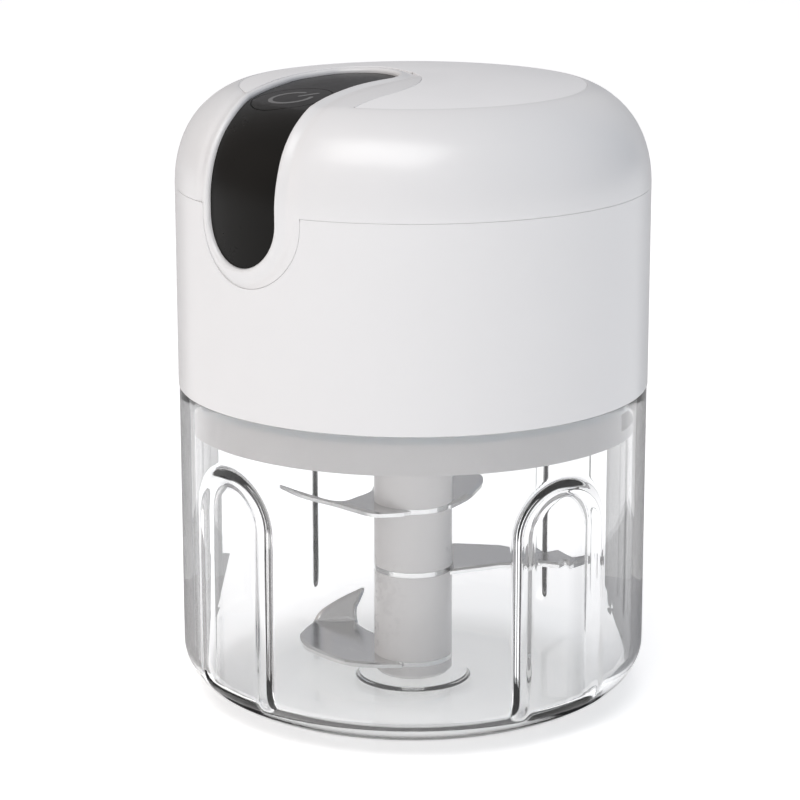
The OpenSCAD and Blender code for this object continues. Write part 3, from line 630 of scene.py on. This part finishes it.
inlay_in = shifted(dome, inlay, GAP)
disc = sheet_piece(
    "inlay_disc", dome, [inlay_in], lambda p: inside(inlay_in, p),
    polar(1.0, 40, 1.7), FINE, [edge_round(0.1)], INLAY_T, INLAY, "head",
    base=INLAY_LEVEL)
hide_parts("top_inlay")

strip_in = shifted(dome, strip, GAP)
key_out = shifted(dome, key_ring, -KEY_CLEAR)
panel = sheet_piece(
    "panel_strip", dome, [strip_in, key_out],
    lambda p: inside(strip_in, p) & ~inside(key_out, p),
    polar(1.0, dome.seam + 12, 1.5), FINE,
    [edge_round(0.12), edge_round(0.05)], PLATE_T, BLACK, "head",
    base=PANEL_SINK, upright=key_out)
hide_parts("control_panel")

key = sheet_piece(
    "key_cap", dome, [key_ring], lambda p: inside(key_ring, p),
    dome.from_plan(polar(0.4, 8, 0.8) + KEY_AT), FINE[:6], [edge_round(0.05)], PLATE_T,
    BLACK, "key", base=PANEL_SINK, upright=key_ring)
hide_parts("power_button")


def band(center, r, half, a0, a1):
    """Outline of an arc-shaped line with round ends, seen from above."""
    c = np.array(center, float)
    tip0 = c + r * np.array([math.cos(a0), math.sin(a0)])
    tip1 = c + r * np.array([math.cos(a1), math.sin(a1)])
    return np.vstack([arc(c, r + half, a0, a1, 80), arc(tip1, half, a1, a1 + math.pi, 12)[1:-1],
                      arc(c, r - half, a1, a0, 80),
                      arc(tip0, half, a0 + math.pi, a0 + 2 * math.pi, 12)[1:-1]])


def stroke(center, direction, start, end, half):
    """Outline of a straight line with round ends, seen from above."""
    c, a = np.array(center, float), direction
    u = np.array([math.cos(a), math.sin(a)])
    return np.vstack([arc(c + end * u, half, a - math.pi / 2, a + math.pi / 2, 14),
                      arc(c + start * u, half, a + math.pi / 2, a + 1.5 * math.pi, 14)])


up, opening, line_half = math.radians(62), 0.62, 0.42
marks = {
    "icon_ring": band(KEY_AT, 3.7, line_half, up + opening, up + 2 * math.pi - opening),
    "icon_bar": stroke(KEY_AT, up, 1.6, 4.7, line_half),
}
for name, drawing in marks.items():
    line = even(dome.from_plan(drawing), 0.14)
    line = line if turns_left(line) else line[::-1]
    mark = sheet_piece(name, dome, [line], lambda p, o=line: inside(o, p),
                       dome.from_plan(polar(0.3, 7, 0.3) + KEY_AT), [0.05, 0.12],
                       [edge_round(0.03)], ICON_T, ICON, "key",
                       base=PANEL_SINK - ICON_PROUD)


# ---------------------------------------------------------------- the cup


def cup_piece():
    wall, foot, corner = 2.0, 27.85, 10.0
    half_w, flute_top, depth, first = 7.6, 46.2, 1.5, -5.9
    flank, wider_inside = 2.7, 1.6
    boss_r, boss_h, pin_r, lip = 10.35, 0.5, 2.0, 0.06
    rim_z = HEAD_Z0 - 0.03
    pin_hole_z = 0.9
    lug_r, lug_z0, lug_z1, lug_round = 38.2, 54.0, 56.2, 0.3

    def ease(x):
        x = np.clip(x, 0, 1)
        return x * x * (3 - 2 * x)

    fan = np.concatenate([np.arange(-45, -17, 2.0), np.arange(-17, 17, 0.5), np.arange(17, 45, 2.0)])
    az = np.radians(np.concatenate([first + 90 * i + fan for i in range(4)]))
    turn = np.radians(90 * np.repeat(np.arange(4), len(fan)) + first)
    local = az - turn
    up_wall = np.concatenate([np.arange(corner, 34, 2.2), np.arange(34, 51.5, 0.45),
                              np.arange(51.5, CUP_H - 0.8, 1.6)])
    bend = np.radians(np.arange(0, 90, 5))
    quarter = np.radians(np.arange(0, 91, 15))

    def corner_path(inset):
        return [(foot + (CUP_R - foot - inset) * math.sin(a), corner - (corner - inset) * math.cos(a))
                for a in bend]

    rows = [(0.6, 0.0, 0), (8, 0.0, 0), (14, 0.0, 0), (20, 0, 0), (foot - 1.6, 0.0, 0)]
    rows += [(r, z, 1) for r, z in corner_path(0.0)]
    rows += [(CUP_R, z, 1) for z in up_wall]
    rows += [(CUP_R - lip * (1 - math.cos(a)), rim_z - lip * (1 - math.sin(a)), 0) for a in quarter]
    inner = CUP_R - wall
    rows += [(inner + lip * (1 - math.sin(a)), rim_z - lip * (1 - math.cos(a)), 0) for a in quarter]
    rows += [(inner, z, 2) for z in up_wall[::-1]]
    rows += [(r, z, 2) for r, z in corner_path(wall)[::-1]]
    top = wall + boss_h
    rows += [(22, wall, 0), (16, wall, 0), (boss_r + 0.7, wall, 0), (boss_r + 0.3, wall + 0.05, 0),
             (boss_r + 0.1, wall + 0.2, 0), (boss_r, wall + 0.35, 0), (boss_r - 0.15, top - 0.03, 0),
             (boss_r - 0.4, top, 0), (7, top, 0), (pin_r + 0.4, top, 0), (pin_r + 0.1, top - 0.1, 0),
             (pin_r + 0.02, top - 0.3, 0), (pin_r + 0.02, 1.0, 0), (pin_r - 0.1, pin_hole_z, 0),
             (0.6, pin_hole_z, 0)]
    grid = []
    for r, z, kind in rows:
        rr = np.full(len(az), float(r))
        if kind:
            x = CUP_R * np.sin(local) if kind == 1 else inner * np.sin(local)
            w = half_w if kind == 1 else half_w + wider_inside
            up = max(z - (flute_top - half_w), 0)
            sd = w - np.hypot(x, up)
            limit = CUP_R - depth if kind == 1 else inner - depth
            rr = rr - ease(sd / flank + 0.5) * np.maximum(rr - limit, 0)
        grid.append(np.stack([rr * np.sin(az), -rr * np.cos(az), np.full(len(az), z)], 1))
    v = np.vstack(grid)
    n = len(az)
    faces = []
    for j in range(len(rows) - 1):
        for i in range(n):
            k = (i + 1) % n
            faces.append((j * n + i, j * n + k, (j + 1) * n + k, (j + 1) * n + i))
    v = np.vstack([v, [[0, 0, 0], [0, 0, pin_hole_z]]])
    low, high, last = len(v) - 2, len(v) - 1, (len(rows) - 1) * n
    for i in range(n):
        k = (i + 1) % n
        faces.append((low, k, i))
        faces.append((high, last + i, last + k))
    # the two bayonet lugs, with rounded corners
    for a in (-47, 133):
        base = len(v)
        ring = [(inner + 0.4, lug_z0), (lug_r + lug_round, lug_z0), (lug_r + 0.05, lug_z0 + 0.1),
                (lug_r, lug_z0 + 0.4), (lug_r, lug_z1 - 0.4), (lug_r + 0.05, lug_z1 - 0.1),
                (lug_r + lug_round, lug_z1), (inner + 0.4, lug_z1)]
        steps = np.radians(np.linspace(a - 4, a + 4, 9))
        v = np.vstack([v] + [[(r * math.sin(t), -r * math.cos(t), z)] for t in steps for r, z in ring])
        m = len(ring)
        for i in range(len(steps) - 1):
            for j in range(m):
                k = (j + 1) % m
                faces.append((base + i * m + j, base + i * m + k, base + (i + 1) * m + k,
                              base + (i + 1) * m + j))
        faces.append(tuple(base + m - 1 - j for j in range(m)))
        faces.append(tuple(base + (len(steps) - 1) * m + j for j in range(m)))
    mesh = bpy.data.meshes.new("cup_clear")
    mesh.from_pydata([tuple(c) for c in v * MM], [], faces)
    mesh.polygons.foreach_set("use_smooth", [True] * len(mesh.polygons))
    bm = bmesh.new()
    bm.from_mesh(mesh)
    bmesh.ops.recalc_face_normals(bm, faces=bm.faces)
    bm.to_mesh(mesh)
    bm.free()
    mesh.materials.append(CLEAR)
    return settle(bpy.data.objects.new("cup_clear", mesh), "cup")


cup = cup_piece()
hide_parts("cup")


# ---------------------------------------------------------------- the blades

wings = {
    "top_blade": [[(-2, -8.2), (-6.2, -9), (-8.9, -7.6), (-14.1, -2.3), (-21, 4), (-25.4, 11),
                   (-21.3, 6.1), (-14.2, -0.6), (-10.6, 2.4), (-8, 6.8), (-7.2, 13.8)],
                  [(-4, 18), (2, 21.8), (9.5, 26.5), (13, 18.5), (13.4, 13), (12.3, 8.6),
                   (10.4, 2.8), (7.2, -2.9)]],
    "middle_blade": [[(7.3, 12.7), (16.5, 11.4), (19.3, 9.9), (20.7, 6), (22.6, 12.3), (25.1, 6.8),
                      (27.8, 8.6), (30.3, 3.6), (33.3, 5.2), (33.5, 2.7), (29.2, -1.6),
                      (28.6, 1.2), (27.2, -1.1), (23.4, 0.4), (22.8, -3.5), (20.4, 1.2),
                      (19.9, -0.9), (16, -1.2), (12.4, -2.8), (6.8, -5)]],
    "lower_blade": [[(-2, -7.6), (-8.5, -7.4), (-12.8, -5.8), (-17.6, -0.9), (-20.6, 3.4),
                     (-21.8, 9), (-21, 14), (-19.5, 17.1), (-18.2, 19.1), (-15.3, 21.1),
                     (-12.4, 22.6), (-9.6, 23.7), (-10.4, 21.1), (-11, 19.7), (-10.8, 17.1),
                     (-8.8, 12.6), (-6, 9)]],
}
HUB_R, CORE_R, BLADE_T, TURN = 7.3, 5.5, 1.0, 45
GRIND_W, GRIND_H, GRIND_POWER = 0.7, 0.32, 1.25
FOLD_Y, FOLD_TURN, NO_FOLD = 17.1, 60, 1e9
for node, rows in wings.items():
    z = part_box(node)[1][2] / MM if node != "lower_blade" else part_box(node)[0][2] / MM + BLADE_T
    fold = (FOLD_Y, FOLD_TURN) if node == "lower_blade" else (NO_FOLD, 0)
    flat = Plate(z, TURN, *fold)
    outline = np.vstack([smooth(r, 8) if node != "middle_blade" else np.array(r, float) for r in rows])
    outline = even(outline, 0.5)
    outline = outline if turns_left(outline) else outline[::-1]
    grid = np.stack(np.meshgrid(np.arange(-36, 36, 1.3), np.arange(-36, 36, 1.3)), -1).reshape(-1, 2)

    def grind(d):
        """A ground edge, and a tiny radius where it ends."""
        u = np.clip(d / GRIND_W, 0, 1)
        slope = -GRIND_H * GRIND_POWER * (1 - u) ** (GRIND_POWER - 1) / GRIND_W
        return GRIND_H * (1 - u) ** GRIND_POWER, np.where(d < GRIND_W, slope, 0)

    blade = sheet_piece(node + "_ground", flat, [outline], lambda p, o=outline: inside(o, p),
                        grid, [0.2, 0.42, 0.6, 0.72, 1.0], [grind], BLADE_T, BLADE, "blade_set")
    ring = []
    for r, h in ((CORE_R + 0.02, 0.0), (HUB_R - 0.06, 0.0), (HUB_R, 0.06), (HUB_R, BLADE_T - 0.06),
                 (HUB_R - 0.06, BLADE_T), (CORE_R + 0.02, BLADE_T)):
        a = np.arange(96) * 2 * math.pi / 96
        ring.append(np.stack([r * np.sin(a), -r * np.cos(a), np.full(96, z - BLADE_T + h)], 1))
    m = len(ring)
    faces = [(j * 96 + i, j * 96 + (i + 1) % 96, ((j + 1) % m) * 96 + (i + 1) % 96,
              ((j + 1) % m) * 96 + i) for j in range(m) for i in range(96)]
    mesh = bpy.data.meshes.new(node + "_ring")
    mesh.from_pydata([tuple(c) for c in np.vstack(ring) * MM], [], faces)
    mesh.materials.append(BLADE)
    collar_ring = settle(bpy.data.objects.new(node + "_ring", mesh), "blade_set")
    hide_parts(node)


# ---------------------------------------------------------------- floor, light and camera

floor_mat = finish("floor_pale", (0.9, 0.9, 0.9), 0.6, grain=30, bump=0, mottle=0.004,
                   Emission_Color=(1, 1, 1, 1), Emission_Strength=0.54)
mesh = bpy.data.meshes.new("floor")
side = 4.0
mesh.from_pydata([(-side, -side, 0), (side, -side, 0), (side, side, 0), (-side, side, 0)], [],
                 [(0, 1, 2, 3)])
mesh.materials.append(floor_mat)
floor = bpy.data.objects.new("floor", mesh)
floor.location.z = -0.0002
bpy.context.scene.collection.objects.link(floor)

world = bpy.data.worlds.new("studio")
world.use_nodes = True
t = world.node_tree
back = t.nodes["Background"]
where = t.nodes.new("ShaderNodeTexCoord")
split = t.nodes.new("ShaderNodeSeparateXYZ")
t.links.new(where.outputs["Generated"], split.inputs["Vector"])
shade = t.nodes.new("ShaderNodeValToRGB")
shade.color_ramp.elements[0].position = 0.46
shade.color_ramp.elements[0].color = (0.46, 0.468, 0.48, 1)
shade.color_ramp.elements[1].position = 0.9
shade.color_ramp.elements[1].color = (1, 1, 1, 1)
half = t.nodes.new("ShaderNodeMath")
half.operation = "MULTIPLY_ADD"
half.inputs[1].default_value = 0.5
half.inputs[2].default_value = 0.5
t.links.new(split.outputs["Z"], half.inputs[0])
t.links.new(half.outputs["Value"], shade.inputs["Fac"])
sideways = t.nodes.new("ShaderNodeVectorMath")
sideways.operation = "DOT_PRODUCT"
sideways.inputs[1].default_value = (0.35, 0.35, 0)
t.links.new(where.outputs["Generated"], sideways.inputs[0])
shift = t.nodes.new("ShaderNodeMath")
shift.inputs[1].default_value = 0.5
t.links.new(sideways.outputs["Value"], shift.inputs[0])
warm = t.nodes.new("ShaderNodeValToRGB")
warm.color_ramp.elements[0].color = (0.88, 0.79, 0.74, 1)
warm.color_ramp.elements[1].color = (0.38, 0.45, 0.54, 1)
t.links.new(shift.outputs["Value"], warm.inputs["Fac"])
both = t.nodes.new("ShaderNodeMix")
both.data_type, both.blend_type = "RGBA", "MULTIPLY"
both.inputs["Factor"].default_value = 1.0
t.links.new(shade.outputs["Color"], both.inputs["A"])
t.links.new(warm.outputs["Color"], both.inputs["B"])
t.links.new(both.outputs["Result"], back.inputs["Color"])
back.inputs["Strength"].default_value = 0.85
bpy.context.scene.world = world

PHOTO_AZ = 45
middle = Vector((0, 0, (cad_box[0][2] + cad_box[1][2]) / 2))


def soft_light(name, az, elevation, distance, size, power, color=(1, 1, 1)):
    a, e = math.radians(az), math.radians(elevation)
    lamp = bpy.data.lights.new(name, "AREA")
    lamp.shape = "RECTANGLE"
    lamp.size, lamp.size_y = size
    lamp.energy = power
    lamp.color = color
    o = bpy.data.objects.new(name, lamp)
    o.location = middle + distance * Vector(
        (math.cos(e) * math.sin(a), -math.cos(e) * math.cos(a), math.sin(e)))
    o.rotation_euler = (middle - o.location).to_track_quat("-Z", "Y").to_euler()
    bpy.context.scene.collection.objects.link(o)


soft_light("key", 24, 58, 0.9, (0.7, 0.45), 4.5, (1, 0.995, 0.985))
soft_light("left_fill", -40, 18, 0.9, (0.4, 0.7), 0.3, (1, 0.84, 0.78))
soft_light("right_fill", 118, 25, 0.9, (0.3, 0.7), 0.08, (0.88, 0.93, 1))


def card(name, corners):
    """A grey card beside the object that only gloss and clear plastic see: a painted grey reflection in
    them. x runs to the right and y away, as the photographer stands."""
    mesh = bpy.data.meshes.new(name)
    mesh.from_pydata(corners, [], [(0, 1, 2, 3)])
    mesh.materials.append(finish(name + "_grey", (0.5, 0.5, 0.5), 0.8, grain=60, bump=0.0001))
    o = bpy.data.objects.new(name, mesh)
    o.rotation_euler.z = math.radians(PHOTO_AZ)
    o.visible_camera = o.visible_diffuse = o.visible_shadow = False
    bpy.context.scene.collection.objects.link(o)


# grey cards upright beside and behind the cup, and flat on the floor beside it: painted grey reflections
# in the clear cup and in the gloss
for hand, sign in (("left", -1), ("right", 1)):
    card("card_" + hand, [(sign * 0.09, 0.048, 0), (sign * 0.047, 0.064, 0),
                          (sign * 0.047, 0.064, 0.17), (sign * 0.09, 0.048, 0.17)])
    card("card_low_" + hand, [(sign * 0.14, -0.03, 0.0006), (sign * 0.0445, -0.03, 0.0006),
                              (sign * 0.0465, 0.08, 0.0006), (sign * 0.14, 0.08, 0.0006)])

# a dark card in the shape of an arc under the cup's front corner, which only gloss and clear plastic see:
# a painted shadow under the cup, seen through its rounded bottom corner

turns = [math.radians(a) for a in range(-70, 71, 5)]
mesh = bpy.data.meshes.new("painted_shadow_arc")
mesh.from_pydata([(r * math.sin(a), -r * math.cos(a), 0) for r in (0.0365, 0.0405) for a in turns], [],
                 [(i, i + 1, len(turns) + i + 1, len(turns) + i) for i in range(len(turns) - 1)])
# the card's dark grey is the painted shadow
mesh.materials.append(finish("painted_shadow_arc_grey", (0.12, 0.12, 0.12), 0.8, grain=60, bump=0.0001))
under = bpy.data.objects.new("painted_shadow_arc", mesh)
under.rotation_euler.z = math.radians(PHOTO_AZ)
under.location.z = -0.0001
under.visible_camera = under.visible_diffuse = under.visible_shadow = False
bpy.context.scene.collection.objects.link(under)

cam = bpy.data.cameras.new("camera")
cam.lens = 129.9
cam.sensor_width = 36
cam.shift_x = -0.0164
cam.dof.use_dof = False
eye = bpy.data.objects.new("camera", cam)
eye.location = (0.3649, -0.3649, 0.1844)
eye.rotation_euler = (math.pi / 2 - 0.2463, 0, math.radians(PHOTO_AZ))
bpy.context.scene.collection.objects.link(eye)
bpy.context.scene.camera = eye
bpy.context.scene.view_settings.view_transform = "Standard"
